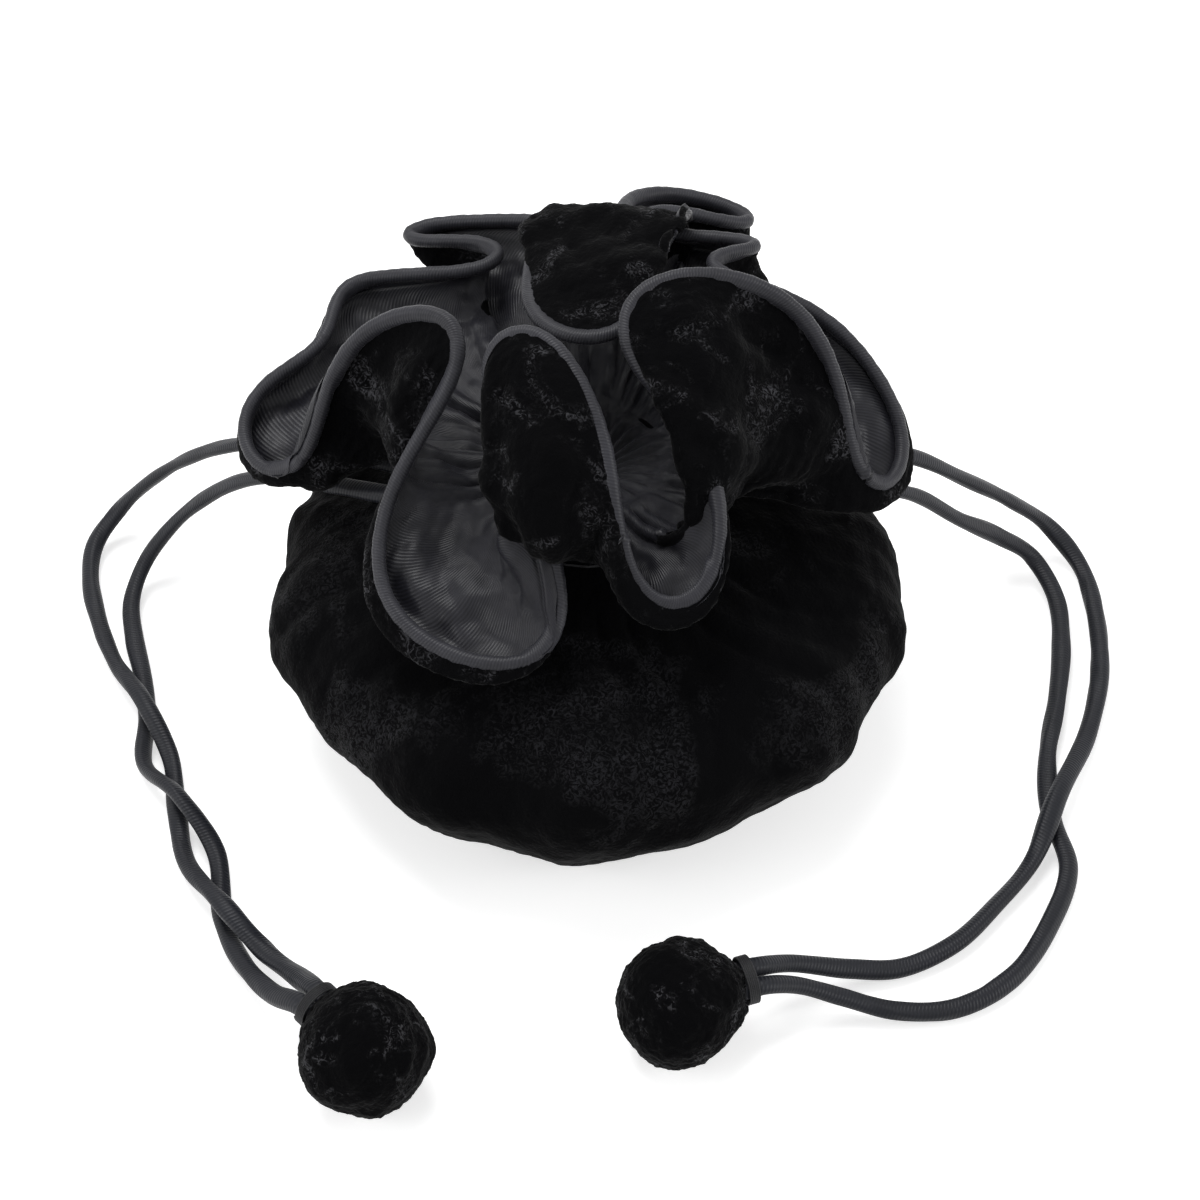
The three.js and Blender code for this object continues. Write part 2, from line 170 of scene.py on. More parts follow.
def cloth_piece(name, outer, inner, uv_scale):
    """A closed sheet between two grids, joined along its two edges; uv runs round and up the cloth."""
    rows, columns, _ = outer.shape
    count = rows * columns
    faces = [*grid_faces(rows, columns), *grid_faces(rows, columns, count, flip=True)]
    for i in range(columns):
        after = (i + 1) % columns
        faces.append((after, i, count + i, count + after))
        top = (rows - 1) * columns
        faces.append((top + i, top + after, count + top + after, count + top + i))
    j, i = np.meshgrid(np.arange(rows) / rows, np.arange(columns) / columns, indexing="ij")
    uv = np.stack([i * uv_scale[0], j * uv_scale[1]], -1).reshape(-1, 2)
    points = np.vstack([outer.reshape(-1, 3), inner.reshape(-1, 3)]) * MM
    return mesh_piece(name, points, faces, np.vstack([uv, uv]))


def swept_piece(name, centres, sides, ups, section, closed, length):
    """A tube whose section (steps, around, 2) may change along its path; its ends are closed."""
    steps, around, _ = section.shape
    ring = centres[:, None] + sides[:, None] * section[..., :1] + ups[:, None] * section[..., 1:]
    faces = []
    for j in range(steps if closed else steps - 1):
        for i in range(around):
            here, there = j * around, ((j + 1) % steps) * around
            after = (i + 1) % around
            faces.append((here + i, here + after, there + after, there + i))
    if not closed:
        faces.append(tuple(range(around))[::-1])
        faces.append(tuple((steps - 1) * around + i for i in range(around)))
    j, i = np.meshgrid(np.arange(steps) / steps * length, np.arange(around) / around, indexing="ij")
    uv = np.stack([j, i], -1).reshape(-1, 2)
    return mesh_piece(name, ring.reshape(-1, 3) * MM, faces, uv)


print("a grid of 3 rows and 8 columns has", len(grid_faces(3, 8)), "faces")

# %% [markdown]
# ## Repeatable unevenness
# Nothing sewn is perfectly even. A noise texture could move the points, but a handful of sine waves in mixed
# directions needs no texture, gives the same cloth on every run and takes its size of lump in millimetres.

# %% Soft noise
def soft_noise(points, scale, seed):
    """Smooth noise between about -1 and 1 at the given points: a few fixed waves in mixed directions."""
    rng = np.random.default_rng(seed)
    total = np.zeros(points.shape[:-1])
    for _ in range(14):
        direction = unit(rng.normal(size=3))
        wave = rng.uniform(0.6, 1.5) * 2 * math.pi / scale
        total += np.sin(points @ direction * wave + rng.uniform(0, 2 * math.pi))
    return total / 3.5


print("noise at one point:", round(float(soft_noise(np.zeros((1, 3)), 20, 1)[0]), 3))

# %% [markdown]
# ## The drawstrings outside the bag
# Each drawstring is a turned satin tube, soft and half flat, and its two strands leave one buttonhole side by
# side. They are laid out as listed points: out from under the frill, down to the table, then loosely twisted
# together as far as the ball that holds both ends. The routes are the same points as the frame's plain tubes.

# %% Lay the strands
CORD_WIDTH = 4.4
CORD_THICK = 3.3
EXITS = {side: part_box(side + "_buttonhole") for side in ("left", "right")}
BALLS = {"left": (-45, -110, 14.02), "right": (19, -98, 14.02)}
BALL_AXES = {"left": (-0.70006, 0.71408, 0), "right": (0.95007, 0.31202, 0)}
BALL_R = 14
STRAND_Y = 2.35
ROUTES = {
    "left_tail_a": [
        (-28, 5, 60.6), (-42, 12, 58), (-56, 20, 54.5), (-69, 28, 49.5), (-80, 34, 43), (-91, 41, 33.5),
        (-104, 47, 20), (-115, 47, 8.5), (-121, 40, 3.4), (-121, 29, 2.5), (-117, 15, 2.5), (-111, 1, 3.6),
        (-102, -14, 7.4), (-95, -27, 3.6), (-92, -41, 2.5), (-88, -56, 3.2), (-78.5, -70, 7.8),
        (-68, -81, 5.2), (-60, -90, 9.5),
    ],
    "left_tail_b": [
        (-28, -1, 60.6), (-42, 3, 57.5), (-55, 10, 53.5), (-67, 18, 48), (-78, 25, 40.5), (-88, 31, 30),
        (-99, 34, 17), (-107, 31, 7), (-110, 22, 2.8), (-108, 10, 2.5), (-104.5, -2, 2.4), (-102, -14, 2.3),
        (-100.5, -29, 3.2), (-91, -41, 7.7), (-82, -53, 3.2), (-78.5, -71, 2.5), (-73, -83, 4.4),
        (-65, -94, 9.5),
    ],
    "right_tail_a": [
        (28, 5, 65), (42, 11, 61), (56, 18, 56), (68, 24, 50), (76, 28, 44), (87, 33, 33), (101, 39, 19),
        (112, 41, 8), (119, 33, 3.2), (121, 18, 2.5), (119.5, -1, 2.5), (114, -20, 3), (104, -41, 7.2),
        (97, -56, 3.2), (88, -67, 2.5), (78, -77, 2.5), (66, -83, 2.5), (55, -84.5, 4.5), (42, -86.5, 9.5),
    ],
    "right_tail_b": [
        (28, -1, 65), (42, 3, 60.5), (55, 9, 55), (66, 14, 48.5), (75, 19, 41), (86, 24, 28.5), (98, 31, 15),
        (107, 33, 6), (112, 23, 2.8), (111.5, 7, 2.5), (108.5, -9, 2.5), (104, -27, 2.5), (103, -43, 2.5),
        (105, -57, 2.5), (99, -72, 2.5), (90, -85, 2.5), (77, -93, 2.5), (64, -94, 3.2), (53, -92.5, 6),
        (43, -92.5, 10.5),
    ],
}
BALL_SIDES = {"left_tail_a": -1, "left_tail_b": 1, "right_tail_a": 1, "right_tail_b": -1}


def strand_points(name):
    """The whole route of one strand, from its buttonhole into its ball's mouth."""
    side = name.split("_")[0]
    low, high = EXITS[side]
    out = -1 if side == "left" else 1
    level = (low[2] + high[2]) / 2 / MM
    start_x = out * (max(abs(low[0]), abs(high[0])) / MM + 0.6)
    start_y = STRAND_Y if name.endswith("a") else -STRAND_Y
    axis = np.array(BALL_AXES[side])
    beside = np.array([-axis[1], axis[0], 0]) * BALL_SIDES[name] * STRAND_Y
    ends = [np.array(BALLS[side]) + axis * (BALL_R + out_by) + beside for out_by in (3, -2)]
    return [(start_x, start_y, level), (start_x + 3 * out, start_y, level), *ROUTES[name], *ends]


def strand_piece(name, seed):
    """A flattened tube with soft lengthwise creases that wander slowly round it."""
    steps, around = 420, 20
    path, length = smooth_curve(strand_points(name), False, steps)
    along = unit(np.gradient(path, axis=0))
    sides = unit(np.cross(np.broadcast_to([0, 0, 1.0], along.shape), along))
    ups = np.cross(along, sides)
    s = np.linspace(0, length, steps)[:, None]
    turn = 2 * math.pi * np.arange(around)[None] / around
    lean = 0.5 * soft_noise(path, 60, seed)[:, None]
    wander = 0.9 * soft_noise(path, 38, seed + 1)[:, None]
    section = np.stack([CORD_WIDTH / 2 * np.cos(turn + 0 * s), CORD_THICK / 2 * np.sin(turn + 0 * s)], -1)
    pinch = 1 + 0.05 * soft_noise(path, 17, seed + 2)[:, None]
    for centre, depth, reach in ((1.2, 0.13, 0.34), (2.5, 0.09, 0.3), (4.4, 0.1, 0.4)):
        away = np.angle(np.exp(1j * (turn - centre - wander)))
        pinch = pinch - depth * np.exp(-((away / reach) ** 2)) * (0.75 + 0.25 * np.sin(s / 7 + centre))
    section = section * pinch[..., None]
    cos, sin = np.cos(lean), np.sin(lean)
    section = np.stack(
        [section[..., 0] * cos - section[..., 1] * sin, section[..., 0] * sin + section[..., 1] * cos], -1
    )
    piece = swept_piece(name + "_cord", path, sides, ups, section, False, length)
    return piece, path, length


strands = {}
for seed, name in enumerate(ROUTES):
    strands[name] = strand_piece(name, 10 * seed + 3)
    print(name, "is", round(strands[name][2]), "mm long")

# %% [markdown]
# ## The bag's wall
# The wall is one tube of velvet, gathered into the casing above and seamed to the flat base below. Its shape
# is a turned profile with three things laid over it: close gathers that fade out below the neck, a few long
# soft folds that make the rim of the belly wander, and the slight unevenness of a bag that has been handled.

# %% Choose the wall's profile
BASE_R = (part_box("base_velvet")[1][0]) / MM
NECK_R = (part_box("casing_velvet")[1][0]) / MM
WALL_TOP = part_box("casing_velvet")[0][2] / MM - 0.4
PROFILE = [
    (BASE_R + 1.3, 0.3), (BASE_R + 5.2, 3.6), (BASE_R + 10.5, 10.5), (66, 19), (69.8, 28), (68.4, 36),
    (61.5, 44), (49, 49.5), (36, 52.5), (25, 54.5), (NECK_R + 0.4, WALL_TOP),
]
WALL_COLUMNS, WALL_ROWS = 720, 170

print("the wall starts", round(PROFILE[0][0], 1), "mm from the axis and ends at", round(PROFILE[-1][0], 1))

# %% Choose the creases
# Long creases as [azimuth, half width, start and end of the rise, depth].
CREASES = [
    (4.86, 0.045, 0.36, 0.92, 0.8), (5.06, 0.030, 0.42, 0.90, 0.6), (4.52, 0.040, 0.30, 0.90, 0.7),
    (5.50, 0.045, 0.30, 0.92, 0.8), (4.16, 0.045, 0.38, 0.92, 0.7), (3.80, 0.040, 0.32, 0.90, 0.8),
    (5.88, 0.045, 0.32, 0.92, 0.8), (0.30, 0.050, 0.34, 0.92, 0.8), (0.95, 0.045, 0.30, 0.90, 0.8),
    (1.60, 0.050, 0.34, 0.92, 0.9), (2.20, 0.045, 0.36, 0.92, 0.8), (2.85, 0.050, 0.32, 0.92, 0.8),
    (3.40, 0.040, 0.34, 0.88, 0.7), (5.27, 0.022, 0.20, 0.60, 0.45), (4.70, 0.022, 0.14, 0.50, 0.4),
]
print(len(CREASES), "long creases")

# %% Shape the wall
def wall_grid():
    profile, _ = smooth_curve([(r, 0, z) for r, z in PROFILE], False, WALL_ROWS)
    angle = 2 * math.pi * np.arange(WALL_COLUMNS) / WALL_COLUMNS
    radius, height = profile[:, :1], profile[:, 2:]
    circle = np.stack([np.cos(angle), np.sin(angle), 0 * angle], -1)[None]
    rise = np.linspace(0, 1, WALL_ROWS)[:, None]
    belly = np.sin(math.pi * rise) ** 1.2
    lobes = 1.3 * np.cos(9 * angle + 0.6) + 0.7 * np.cos(5 * angle + 2.1) + 0.9 * np.cos(14 * angle + 4)
    wander = angle + 0.05 * np.sin(3 * angle + 5 * rise) + 0.03 * np.sin(7 * angle - 9 * rise)
    gathers = np.abs(np.sin(17 * wander)) ** 1.1 + 0.6 * np.abs(np.sin(27 * wander + 1)) ** 1.2
    fade = np.clip((rise - 0.52) / 0.36, 0, 1) ** 1.8 * np.clip((1 - rise) / 0.2, 0.25, 1)
    radius = radius + belly * lobes - 1.0 * fade * gathers
    grid = circle * radius[..., None]
    grid = grid + np.array([0, 0, 1.0]) * np.broadcast_to(height, radius.shape)[..., None]
    normal = normals_of(grid)
    for centre, reach, low, high, depth in CREASES:
        bent = centre + 0.10 * np.sin(6 * rise + centre) + 0.04 * np.sin(17 * rise + 2 * centre)
        away = np.angle(np.exp(1j * (angle[None] - bent)))
        span = np.clip((rise - low) / 0.12, 0, 1) * np.clip((high - rise) / 0.12, 0, 1)
        crown = np.exp(-(((away - 2.2 * reach) / (1.6 * reach)) ** 2))
        valley = np.exp(-((away / reach) ** 2)) - 0.55 * crown
        grid = grid - normal * (depth * span * valley)[..., None]
    edge = np.clip(rise / 0.08, 0, 1) * np.clip((1 - rise) / 0.05, 0, 1)
    lumps = 0.55 * soft_noise(grid, 34, 5) + 0.28 * soft_noise(grid, 13, 6) + 0.10 * soft_noise(grid, 4.5, 7)
    return grid + normal * (lumps * edge)[..., None]


wall = wall_grid()
wall_normal = normals_of(wall)
wall_cloth = cloth_piece("wall_velvet", wall + 0.5 * wall_normal, wall - 0.6 * wall_normal, (440, 110))
lining_from = int(WALL_ROWS * 0.1)
wall_lining = cloth_piece(
    "wall_lining",
    (wall - 0.9 * wall_normal)[lining_from:],
    (wall - 1.3 * wall_normal)[lining_from:],
    (440, 100),
)
print("wall rises to", round(WALL_TOP, 1), "mm")

# %% [markdown]
# ## The frill
# The frill is a wide ring of velvet backed with satin, far longer round its edge than round the neck, so it
# throws itself into lobes and folds. Its edge is given as listed points, once round; from each point of that
# edge the cloth swells outwards, turns under and runs down into the casing. At a lobe the edge lies out over
# the shoulder and the satin shows; at a fold the edge stands over the neck and the velvet puffs out below it.

# %% Choose the edge
EDGE = [
    (-57, 30, 78), (-64, 27, 75), (-73, 24, 70), (-77, 17, 65), (-74, 9, 62), (-68, 4, 62), (-62, 3, 67),
    (-58, 4, 76), (-55, 8, 86), (-51, 10, 94), (-44, 11, 101), (-35, 9, 106), (-27, 5, 108), (-25, 0, 104),
    (-30, -7, 95), (-38, -14, 84), (-43, -24, 75), (-42, -36, 67), (-31, -45, 62), (-18, -49, 61),
    (-9, -48, 62), (-5, -42, 67), (-7, -32, 77), (-13, -21, 88), (-19, -11, 98), (-21, -4, 106),
    (-15, 0, 110), (-8, -3, 110), (-1, -12, 105), (4, -23, 97), (6, -33, 85), (10, -39, 73),
    (18, -42, 69), (25, -38, 73),
    (27, -26, 85), (23, -17, 93), (14, -9, 100), (7, -2, 106), (8, 7, 111), (18, 12, 113), (33, 15, 109),
    (46, 13, 100), (53, 6, 87), (56, -1, 74), (61, -5, 66), (67, 1, 65), (69, 10, 67), (66, 16, 74),
    (60, 20, 82), (54, 25, 87), (46, 28, 91), (37, 29, 95), (29, 30, 97), (24, 32, 98), (25, 36, 98),
    (31, 38, 97), (37, 40, 96), (39, 44, 94), (34, 47, 93), (27, 48, 93), (19, 48, 93), (13, 51, 93),
    (10, 56, 92), (13, 60, 91), (20, 61, 90), (28, 60, 88), (35, 60, 86), (39, 64, 84), (34, 69, 84),
    (24, 71, 86), (14, 69, 89), (8, 62, 92), (7, 54, 95), (10, 42, 98), (13, 30, 100), (13, 18, 101),
    (9, 10, 100), (3, 7, 99), (-4, 8, 99), (-10, 13, 98), (-13, 22, 97), (-13, 33, 96), (-9, 42, 95),
    (-5, 50, 92), (-8, 57, 90), (-16, 60, 88), (-25, 62, 86), (-35, 64, 84), (-43, 62, 83), (-42, 57, 84),
    (-33, 55, 86), (-24, 54, 87), (-18, 50, 88), (-19, 45, 88), (-27, 43, 87), (-37, 44, 86), (-47, 46, 83),
    (-54, 48, 81), (-57, 40, 80),
]
FRILL_COLUMNS, FRILL_ROWS = 960, 84
PIPING_R = 1.5
FRILL_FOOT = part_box("casing_velvet")[1][2] / MM + 0.5
FOOT_TURN = math.radians(150)
CREST_Z, LOBE_Z = 104, 70

edge, edge_length = smooth_curve(EDGE, True, FRILL_COLUMNS)
for _ in range(60):
    edge = 0.5 * edge + 0.25 * (np.roll(edge, 1, axis=0) + np.roll(edge, -1, axis=0))
print("the piped edge is", round(edge_length), "mm round")

# %% [markdown]
# ## The cloth between edge and neck
# Cloth simulation would gather the frill by itself, but its lobes would fall where they like. Here each rib
# is a curve with four handles, from the casing up to its point of the edge, so every lobe and fold stays
# where it was chosen; smoothing across the ribs then turns them into one cloth.

# %% Rows along the cloth
def even_rows(grid):
    """Rows at set shares of each rib's own length, close together near the edge where the seam is."""
    share = 1 - (1 - np.linspace(0, 1, FRILL_ROWS)) ** 1.7
    made = np.empty_like(grid)
    for i in range(FRILL_COLUMNS):
        rib = grid[:, i]
        length = np.r_[0, np.cumsum(np.linalg.norm(np.diff(rib, axis=0), axis=1))]
        for k in range(3):
            made[:, i, k] = np.interp(share * length[-1], length, rib[:, k])
    return made


def from_edge(grid):
    """How far along the cloth each grid point is from the piped edge."""
    steps = np.linalg.norm(np.diff(grid, axis=0), axis=-1)[::-1]
    return np.concatenate([np.zeros((1, grid.shape[1])), np.cumsum(steps, axis=0)])[::-1]


print("rows from neck to edge:", FRILL_ROWS)

# %% Swell the cloth from the edge down into the casing
def around_neck(radius, turn, height):
    return np.stack([radius * np.cos(turn), radius * np.sin(turn), height + 0 * turn], -1)


def frill_grid():
    turn = FOOT_TURN + 2 * math.pi * np.arange(FRILL_COLUMNS) / FRILL_COLUMNS
    out = around_neck(1.0, turn, 0.0)
    up = np.array([0, 0, 1.0])
    lobe = np.clip((CREST_Z - edge[:, 2]) / (CREST_Z - LOBE_Z), 0, 1)[:, None]
    lobe = lobe * lobe * (3 - 2 * lobe)
    tangent = unit(np.roll(edge, -1, axis=0) - np.roll(edge, 1, axis=0))
    foot = around_neck(NECK_R - 0.6, turn, FRILL_FOOT)
    away = unit((edge - np.array([0, 8, 0])) * np.array([1, 1, 0]))
    back = np.clip(out[:, 1:2], 0, 1)
    side = np.clip((np.abs(out[:, :1]) - 0.6) / 0.3, 0, 1)
    reach = np.linalg.norm((edge - np.array([0, 8, 0]))[:, :2], axis=1)[:, None]
    inward = np.clip((40 + 12 * back - reach) / (22 + 8 * back), 0, 1) * (1 - lobe)
    leave = out * inward * (10 + 47 * back) + up * inward * (1 + 6 * back)
    leave = leave + (1 - inward) * (away * (3 + 7 * lobe) + out * 2 - up * (9 + 5 * side))
    along_edge = np.sum(leave * tangent, axis=1, keepdims=True)
    leave = leave - tangent * along_edge * (0.9 - 0.6 * inward * back)
    fall = edge + leave
    full = (1 - back) * ((1 - lobe) * side + inward * (1 - side))
    rise = foot + out * (24 + 22 * full + 38 * inward * back) + up * (1 + inward * (4 + 20 * back))
    end = edge + unit(leave) * (PIPING_R * 0.7)
    v = np.linspace(0, 1, FRILL_ROWS)[:, None, None]
    grid = (1 - v) ** 3 * foot + 3 * (1 - v) ** 2 * v * rise + 3 * (1 - v) * v * v * fall + v ** 3 * end
    for _ in range(36):
        inner = grid[1:-1]
        beside = 0.5 * (np.roll(inner, 1, axis=1) + np.roll(inner, -1, axis=1))
        grid[1:-1] = 0.38 * inner + 0.5 * beside + 0.06 * (grid[2:] + grid[:-2])
    return even_rows(grid)


frill = frill_grid()
print("the swollen cloth is", round(float(np.median(from_edge(frill)[0]))), "mm deep from edge to neck")

# %% Pleat and rumple it
normal = normals_of(frill)
climb = np.linspace(0, 1, FRILL_ROWS)[:, None]
turns = 2 * math.pi * np.arange(FRILL_COLUMNS)[None] / FRILL_COLUMNS
gathers = np.sin(34 * turns + 1.5 * np.sin(5 * turns)) + 0.6 * np.sin(53 * turns + 2 * np.sin(3 * turns))
pleats = 0.8 * gathers * np.clip(1 - climb / 0.75, 0, 1) ** 1.3 * np.clip(climb / 0.08, 0, 1)
rumple = 1.0 * soft_noise(frill, 22, 21) + 0.45 * soft_noise(frill, 9, 22) + 0.12 * soft_noise(frill, 4, 24)
frill = frill + normal * (pleats + rumple * np.clip((from_edge(frill) - 2.5) / 9, 0, 1))[..., None]
normal = normals_of(frill)
pile = 0.12 * soft_noise(frill, 2.6, 23)
frill_velvet = cloth_piece(
    "frill_velvet_cloth", frill + normal * (0.8 + pile)[..., None], frill + 0.1 * normal, (edge_length, 58)
)
print("pleats are up to", round(float(np.abs(pleats).max()), 2), "mm deep")

# %% Carry the satin down the throat
def down_throat(grid, inwards):
    """The satin goes on below the frill and is gathered almost shut inside the neck."""
    fall = np.linspace(1, 0, 16, endpoint=False)[:, None]
    turn = FOOT_TURN + 2 * math.pi * np.arange(FRILL_COLUMNS)[None] / FRILL_COLUMNS
    folds = np.sin(26 * turn + np.sin(3 * turn)) * np.sin(math.pi * fall)
    radius = (NECK_R - 1.2) * (1 - fall) + 2.2 * fall - inwards + 0.9 * folds
    height = FRILL_FOOT - 5 * fall ** 2 + 0 * turn
    rows = np.stack([radius * np.cos(turn), radius * np.sin(turn), height], -1)
    rows = rows + np.array([0, 0, 0.5]) * inwards + np.array([0, 0, 0.8]) * folds[..., None]
    return np.concatenate([rows, grid])


GROOVE_FROM_EDGE = 2.3
seam = from_edge(frill) - GROOVE_FROM_EDGE
ridge = 1 / (1 + np.exp(seam / 0.18))
groove = np.exp(-((seam - 0.25) / 0.4) ** 2)
frill_lining = cloth_piece(
    "frill_satin_cloth",
    down_throat(frill - 0.1 * normal, 0),
    down_throat(frill - normal * (0.75 + 0.55 * ridge - 0.55 * groove)[..., None], 0.5),
    (edge_length, 58),
)
print("frill stands from", round(frill[..., 2].min()), "to", round(frill[..., 2].max()), "mm")

# %% [markdown]
# ## The piping
# The edge is bound with a bias strip of satin folded round a cord. A tube of constant section follows the
# edge, slightly pinched where the stitches pull it against the cloth.

# %% Sweep the piping
def piping_piece():
    steps, around = FRILL_COLUMNS, 14
    along = unit(np.roll(edge, -1, axis=0) - np.roll(edge, 1, axis=0))
    cloth = unit(frill[-2] - frill[-1])
    sides = unit(cloth - along * np.sum(cloth * along, axis=1, keepdims=True))
    ups = np.cross(along, sides)
    turn = 2 * math.pi * np.arange(around)[None] / around
    s = np.linspace(0, edge_length, steps)[:, None]
    radius = PIPING_R * (1 + 0.03 * np.sin(s * 2.1) + 0.025 * np.sin(s * 0.83 + 1))
    section = np.stack([radius * np.cos(turn), radius * np.sin(turn)], -1)
    section[..., 0] += 0.7 * np.clip(np.cos(turn), 0, 1) ** 4
    return swept_piece("edge_piping", edge, sides, ups, section, True, edge_length)


piping = piping_piece()
print("piping has", len(piping.data.vertices), "points")

# %% [markdown]
# ## The balls
# Each ball is a small velvet bag of wadding, gathered over the two strand ends and whipped with thread. It is
# a sphere pulled in towards its mouth, dented by its own gathers and roughened by the pile.

# %% Shape the balls
def ball_piece(side, seed, squat):
    centre, axis = np.array(BALLS[side]), np.array(BALL_AXES[side])
    builder = bmesh.new()
    bmesh.ops.create_icosphere(builder, subdivisions=6, radius=1)
    mesh = bpy.data.meshes.new(side + "_ball")
    builder.to_mesh(mesh)
    builder.free()
    points = np.zeros(len(mesh.vertices) * 3, np.float32)
    mesh.vertices.foreach_get("co", points)
    points = points.reshape(-1, 3).astype(float)
    facing = points @ axis
    across = points - facing[:, None] * axis
    beside = np.array([-axis[1], axis[0], 0])
    turn = np.arctan2(across[:, 2], across @ beside)
    gather = np.clip((facing - 0.35) / 0.65, 0, 1)
    radius = 13.4 + 0.35 * soft_noise(points, 1.5, seed) + 0.22 * soft_noise(points, 0.55, seed + 1)
    radius += 0.11 * soft_noise(points, 0.2, seed + 2) + 0.07 * soft_noise(points, 0.09, seed + 3)
    radius -= 0.4 * gather * (0.5 + 0.5 * np.cos(11 * turn + 2 * np.sin(turn)))
    shaped = points * radius[:, None]
    shaped += axis * (1.4 * np.clip((facing - 0.9) / 0.1, 0, 1) ** 2)[:, None]
    shaped[:, 2] *= squat
    shaped[:, 2] -= shaped[:, 2].min() + centre[2] - 0.05
    mesh.vertices.foreach_set("co", ((shaped + centre) * MM).astype(np.float32).ravel())
    mesh.polygons.foreach_set("use_smooth", [True] * len(mesh.polygons))
    piece = bpy.data.objects.new(side + "_velvet_ball", mesh)
    bpy.context.scene.collection.objects.link(piece)
    return piece


balls = {"left": ball_piece("left", 41, 1.0), "right": ball_piece("right", 51, 0.93)}
for side, ball in balls.items():
    print(side, "ball is", [round(v / MM, 1) for v in ball.dimensions], "mm")

# %% [markdown]
# ## The whipping
# Thread wound round both strands keeps each ball on. A torus per turn would be simpler, but one wound tube
# shows the slant of real whipping.

# %% Whip the balls' necks
WHIPPING_R = 4.95
THREAD_R = 0.24


def whipping_piece(side):
    """Six turns of thread round the two strands, as one wound tube."""
    centre, axis = np.array(BALLS[side]), np.array(BALL_AXES[side])
    beside, up = np.array([-axis[1], axis[0], 0]), np.array([0, 0, 1.0])
    turns, steps = 6, 240
    turn = np.linspace(0, 2 * math.pi * turns, steps)[:, None]
    rise = np.linspace(BALL_R - 0.8, BALL_R + 1.6, steps)[:, None]
    path = centre + axis * rise + beside * WHIPPING_R * np.cos(turn) + up * WHIPPING_R * np.sin(turn)
    along = unit(np.gradient(path, axis=0))
    sides = unit(np.cross(np.broadcast_to(axis, along.shape), along))
    around = 2 * math.pi * np.arange(8)[None] / 8
    section = THREAD_R * np.stack([np.cos(around), np.sin(around)], -1) * np.ones((steps, 1, 1))
    return swept_piece(side + "_whipping_thread", path, sides, np.cross(along, sides), section, False, 100)


whippings = {side: whipping_piece(side) for side in balls}
print("whippings:", [piece.name for piece in whippings.values()])

# %% [markdown]
# ## Finishes
# Crushed velvet is almost black where its pile faces you and silvery where the pile lies flat, so its nap is
# a mask of soft patches; their silver is painted sheen, a lighter colour where the lying pile catches the
# light.
# Satin and twill show a fine slanted rib. Both effects are node groups, so that every
# cloth on the bag shares them at its own scale.

# %% Node helpers
def new_group(name, inputs):
    group = bpy.data.node_groups.new(name, "ShaderNodeTree")
    for label, default in inputs:
        socket = group.interface.new_socket(label, in_out="INPUT", socket_type="NodeSocketFloat")
        socket.default_value = default
    return group, group.nodes.new("NodeGroupInput"), group.nodes.new("NodeGroupOutput")


def noise_node(nodes, links, vector, scale, detail, roughness=0.6):
    node = nodes.new("ShaderNodeTexNoise")
    node.inputs["Scale"].default_value = scale
    node.inputs["Detail"].default_value = detail
    node.inputs["Roughness"].default_value = roughness
    links.new(vector, node.inputs["Vector"])
    return node.outputs["Fac"]


def math_node(nodes, links, operation, first, second):
    node = nodes.new("ShaderNodeMath")
    node.operation = operation
    for socket, value in zip(node.inputs, (first, second)):
        if isinstance(value, (int, float)):
            socket.default_value = value
        else:
            links.new(value, socket)
    return node.outputs[0]


def ramp_node(nodes, links, factor, stops):
    """A colour ramp through grey stops given as [position, value] or [position, (r, g, b)]."""
    node = nodes.new("ShaderNodeValToRGB")
    ramp = node.color_ramp
    while len(ramp.elements) < len(stops):
        ramp.elements.new(0.5)
    for element, (position, value) in zip(ramp.elements, stops):
        element.position = position
        element.color = (*value, 1) if isinstance(value, tuple) else (value, value, value, 1)
    links.new(factor, node.inputs["Fac"])
    return node.outputs["Color"]


# %% The crushed nap, as a group
def nap_group():
    """Patches is 1 where the pile lies flat and 0 where it stands; Height is the tufted surface."""
    scales = [("Patch Scale", 60), ("Streak Scale", 650), ("Tuft Scale", 900)]
    group, start, end = new_group("crushed_nap", scales)
    nodes, links = group.nodes, group.links
    for label in ("Patches", "Height"):
        group.interface.new_socket(label, in_out="OUTPUT", socket_type="NodeSocketFloat")
    place = nodes.new("ShaderNodeTexCoord").outputs["Object"]
    broad = nodes.new("ShaderNodeTexNoise")
    broad.inputs["Detail"].default_value = 5
    broad.inputs["Roughness"].default_value = 0.62
    broad.inputs["Distortion"].default_value = 0.9
    tuft = nodes.new("ShaderNodeTexNoise")
    tuft.inputs["Detail"].default_value = 2
    streak = nodes.new("ShaderNodeTexNoise")
    streak.inputs["Detail"].default_value = 3
    streak.inputs["Distortion"].default_value = 2.5
    for node, label in ((broad, "Patch Scale"), (streak, "Streak Scale"), (tuft, "Tuft Scale")):
        links.new(place, node.inputs["Vector"])
        links.new(start.outputs[label], node.inputs["Scale"])
    patches = ramp_node(nodes, links, broad.outputs["Fac"], [(0.50, 0.0), (0.64, 1.0)])
    flecks = ramp_node(nodes, links, streak.outputs["Fac"], [(0.44, 0.0), (0.62, 1.0)])
    mask = math_node(nodes, links, "MULTIPLY", patches, flecks)
    links.new(mask, end.inputs["Patches"])
    raised = math_node(nodes, links, "MULTIPLY", mask, 1.2)
    height = math_node(nodes, links, "ADD", tuft.outputs["Fac"], raised)
    links.new(height, end.inputs["Height"])
    return group


